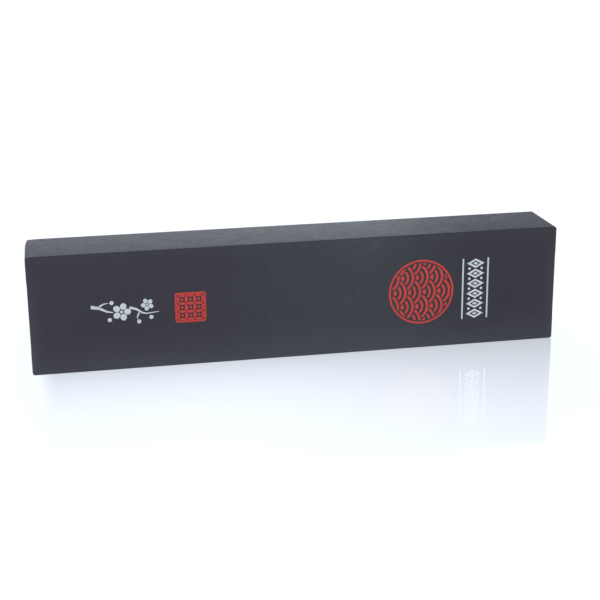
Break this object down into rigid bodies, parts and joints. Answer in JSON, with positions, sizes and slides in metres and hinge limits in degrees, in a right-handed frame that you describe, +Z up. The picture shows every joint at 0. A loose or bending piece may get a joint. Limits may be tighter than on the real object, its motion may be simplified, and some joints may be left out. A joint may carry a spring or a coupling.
{
  "type": "boxed whetstone",
  "caption": "Slim black paper-covered presentation box on its long edge; a full-depth lid lifts off a foam-lined base that holds a combination whetstone and its dressing stone.",
  "frame": {"origin": "bottom centre of the closed box as it stands on its long edge, on the surface under it", "axes": "+X along the box towards its right-hand end, +Y from the lid's printed face to the underside of the base, +Z up across the printed face"},
  "size_m": [0.3002, 0.04, 0.0674],
  "materials": {
    "covering_paper": "satin",
    "lining_paper": "matte",
    "greyboard": "matte",
    "gummed_paper": "matte",
    "foam": "matte",
    "coarse_stone": "matte",
    "fine_stone": "matte",
    "dressing_stone": "matte",
    "red_ink": "satin",
    "white_ink": "satin"
  },
  "bodies": {
    "base": {"base_wrap": "covering_paper", "base_liner": "lining_paper", "base_floor_board": "greyboard", "base_upper_board": "greyboard", "base_lower_board": "greyboard", "base_left_board": "greyboard", "base_right_board": "greyboard", "base_corner_stays": "gummed_paper", "foam_bed": "foam", "foam_frame": "foam"},
    "lid": {"lid_wrap": "covering_paper", "lid_liner": "lining_paper", "lid_face_board": "greyboard", "lid_upper_board": "greyboard", "lid_lower_board": "greyboard", "lid_left_board": "greyboard", "lid_right_board": "greyboard", "lid_corner_stays": "gummed_paper", "lid_pad": "foam"},
    "whetstone": {"stone_coarse_layer": "coarse_stone", "stone_fine_layer": "fine_stone"},
    "dressing_stone": {"dressing_stone": "dressing_stone"}
  },
  "joints": [
    {"name": "lid_lift", "type": "slide", "parent": "base", "child": "lid", "axis": [0, -1, 0], "range_m": [0, 0.144]},
    {"name": "whetstone_lift", "type": "slide", "parent": "base", "child": "whetstone", "axis": [0, -1, 0], "range_m": [0, 0.036]},
    {"name": "dressing_stone_lift", "type": "slide", "parent": "base", "child": "dressing_stone", "axis": [0, -1, 0], "range_m": [0, 0.036]}
  ],
  "couplings": [
    {"joint": "whetstone_lift", "follows": "lid_lift", "ratio": 0.25},
    {"joint": "dressing_stone_lift", "follows": "lid_lift", "ratio": 0.25}
  ]
}
